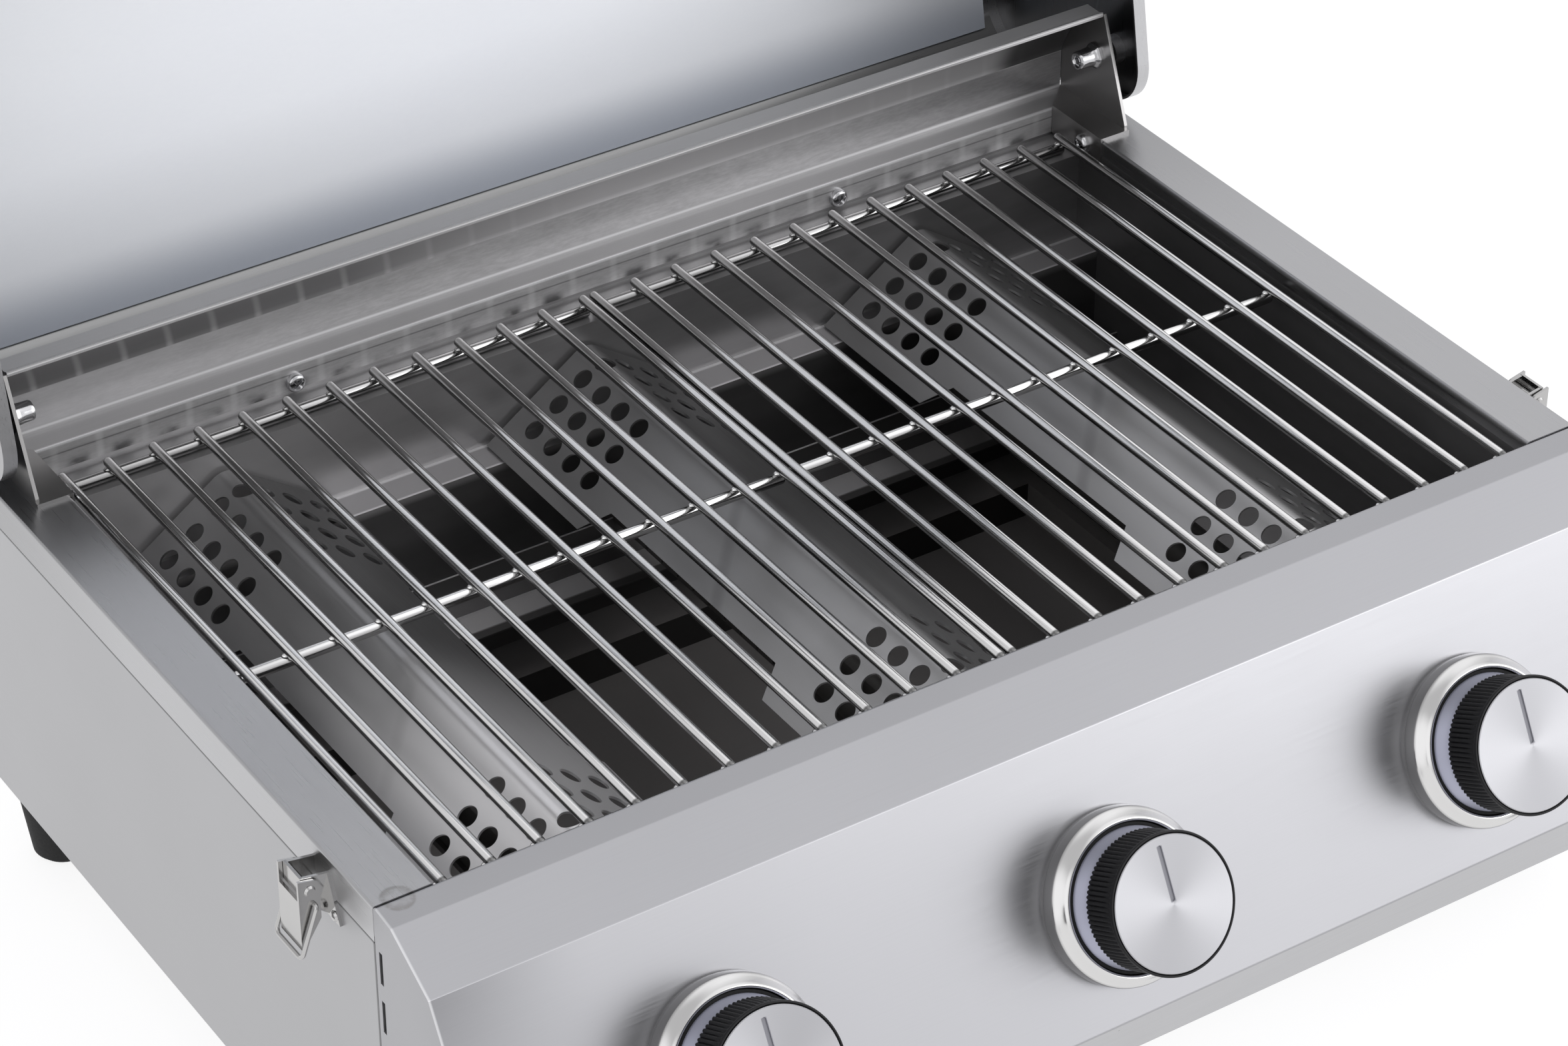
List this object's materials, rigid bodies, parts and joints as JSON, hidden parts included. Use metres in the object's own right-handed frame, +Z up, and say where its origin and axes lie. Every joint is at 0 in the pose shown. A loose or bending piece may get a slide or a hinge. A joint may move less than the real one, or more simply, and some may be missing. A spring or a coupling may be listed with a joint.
{
  "type": "tabletop gas grill",
  "caption": "Tabletop gas grill with an open double-skinned lid, rod grates over perforated flame tamers, push-and-turn knobs and side draw latches.",
  "frame": {"origin": "middle of the bottom of the whole box, on the plane the feet stand on, with the lid open", "axes": "+X to the cook's right, +Y to the back, +Z up"},
  "size_m": [0.5784, 0.5866, 0.5366],
  "materials": {
    "stainless_brushed": "brushed stainless sheet",
    "stainless_firebox": "mill finish stainless sheet",
    "stainless_polished": "polished stainless",
    "stainless_rod": "electropolished rod",
    "liner_bright": "bright annealed sheet",
    "hardware_steel": "plated fasteners",
    "spacer_dark": "black oxide",
    "knob_black": "satin black moulding",
    "knob_cap": "turned radial brushing",
    "seat_ring_pale": "pale moulded ring",
    "brass_fitting": "machined brass",
    "pipe_steel": "plain steel tube",
    "rubber_black": "moulded rubber",
    "silicone_grey": "silicone",
    "ceramic_white": "glazed ceramic with wire tip",
    "igniter_plastic": "moulded battery holder"
  },
  "bodies": {
    "body": {"backsplash": "stainless_brushed", "base_frame": "stainless_firebox", "bezel_centre": "stainless_polished", "bezel_left": "stainless_polished", "bezel_right": "stainless_polished", "burner_rail": "stainless_firebox", "burners": "stainless_firebox", "feet": "rubber_black", "firebox": "stainless_firebox", "flame_tamer_centre": "stainless_firebox", "flame_tamer_left": "stainless_firebox", "flame_tamer_right": "stainless_firebox", "foot_screws": "hardware_steel", "front_fascia": "stainless_brushed", "gas_inlet": "brass_fitting", "hinge_bolts": "stainless_polished", "hinge_bracket_left": "stainless_brushed", "hinge_bracket_right": "stainless_brushed", "hinge_spacers": "spacer_dark", "igniter_bezel": "stainless_polished", "igniter_box": "igniter_plastic", "igniter_electrodes": "ceramic_white", "latch_bases": "stainless_polished", "latch_pins": "hardware_steel", "manifold": "pipe_steel", "panel_screws": "hardware_steel", "rear_panel": "stainless_brushed", "rim_left": "stainless_brushed", "rim_right": "stainless_brushed", "seat_rings": "seat_ring_pale", "side_panel_left": "stainless_brushed", "side_panel_right": "stainless_brushed", "supply_tube": "pipe_steel", "tray_runners": "stainless_firebox", "valves": "brass_fitting"},
    "lid": {"lid_shell": "stainless_brushed", "lid_liner": "liner_bright", "lid_end_cap_left": "stainless_brushed", "lid_end_cap_right": "stainless_brushed", "lid_handle": "stainless_polished", "handle_posts": "stainless_polished", "lid_bumpers": "silicone_grey", "lid_catches": "stainless_polished"},
    "grate_left": {"grate_left": "stainless_rod"},
    "grate_right": {"grate_right": "stainless_rod"},
    "drip_tray": {"drip_tray": "stainless_firebox"},
    "igniter_button": {"igniter_button": "knob_black"},
    "latch_lever_left": {"latch_lever_left": "stainless_polished"},
    "latch_bail_left": {"latch_bail_left": "stainless_polished"},
    "latch_lever_right": {"latch_lever_right": "stainless_polished"},
    "latch_bail_right": {"latch_bail_right": "stainless_polished"},
    "valve_stem_left": {"valve_stem_left": "hardware_steel"},
    "knob_left": {"knob_left": "knob_black", "knob_cap_left": "knob_cap"},
    "valve_stem_centre": {"valve_stem_centre": "hardware_steel"},
    "knob_centre": {"knob_centre": "knob_black", "knob_cap_centre": "knob_cap"},
    "valve_stem_right": {"valve_stem_right": "hardware_steel"},
    "knob_right": {"knob_right": "knob_black", "knob_cap_right": "knob_cap"}
  },
  "joints": [
    {"name": "lid_hinge", "type": "hinge", "parent": "body", "child": "lid", "pos_m": [0, 0.12618, 0.222], "axis": [1, 0, 0], "range_deg": [0, 100.5]},
    {"name": "grate_left_lift", "type": "slide", "parent": "body", "child": "grate_left", "axis": [0, 0, 1], "range_m": [0, 0.03]},
    {"name": "grate_right_lift", "type": "slide", "parent": "body", "child": "grate_right", "axis": [0, 0, 1], "range_m": [0, 0.03]},
    {"name": "drip_tray_slide", "type": "slide", "parent": "body", "child": "drip_tray", "axis": [0, 1, 0], "range_m": [0, 0.25]},
    {"name": "igniter_press", "type": "slide", "parent": "body", "child": "igniter_button", "axis": [0, 0.8704, -0.4924], "range_m": [0, 0.004], "stiffness_N_per_m": 800, "springref_m": -0.002},
    {"name": "knob_left_turn", "type": "hinge", "parent": "body", "child": "valve_stem_left", "pos_m": [-0.1713, -0.24803, 0.12257], "axis": [0, -0.8704, 0.4924], "range_deg": [0, 180]},
    {"name": "knob_left_press", "type": "slide", "parent": "valve_stem_left", "child": "knob_left", "axis": [0, 0.8704, -0.4924], "range_m": [0, 0.003], "stiffness_N_per_m": 800, "springref_m": -0.002},
    {"name": "knob_centre_turn", "type": "hinge", "parent": "body", "child": "valve_stem_centre", "pos_m": [0, -0.24803, 0.12257], "axis": [0, -0.8704, 0.4924], "range_deg": [0, 180]},
    {"name": "knob_centre_press", "type": "slide", "parent": "valve_stem_centre", "child": "knob_centre", "axis": [0, 0.8704, -0.4924], "range_m": [0, 0.003], "stiffness_N_per_m": 800, "springref_m": -0.002},
    {"name": "knob_right_turn", "type": "hinge", "parent": "body", "child": "valve_stem_right", "pos_m": [0.1713, -0.24803, 0.12257], "axis": [0, -0.8704, 0.4924], "range_deg": [0, 180]},
    {"name": "knob_right_press", "type": "slide", "parent": "valve_stem_right", "child": "knob_right", "axis": [0, 0.8704, -0.4924], "range_m": [0, 0.003], "stiffness_N_per_m": 800, "springref_m": -0.002},
    {"name": "latch_left_lever", "type": "hinge", "parent": "body", "child": "latch_lever_left", "pos_m": [-0.2825, -0.14232, 0.1847], "axis": [0, 1, 0], "range_deg": [0, 80]},
    {"name": "latch_left_bail", "type": "hinge", "parent": "latch_lever_left", "child": "latch_bail_left", "pos_m": [-0.2811, -0.14232, 0.1783], "axis": [0, -1, 0], "range_deg": [-161, 0]},
    {"name": "latch_right_lever", "type": "hinge", "parent": "body", "child": "latch_lever_right", "pos_m": [0.2825, -0.14232, 0.1847], "axis": [0, -1, 0], "range_deg": [0, 80]},
    {"name": "latch_right_bail", "type": "hinge", "parent": "latch_lever_right", "child": "latch_bail_right", "pos_m": [0.2811, -0.14232, 0.1783], "axis": [0, 1, 0], "range_deg": [-161, 0]}
  ]
}
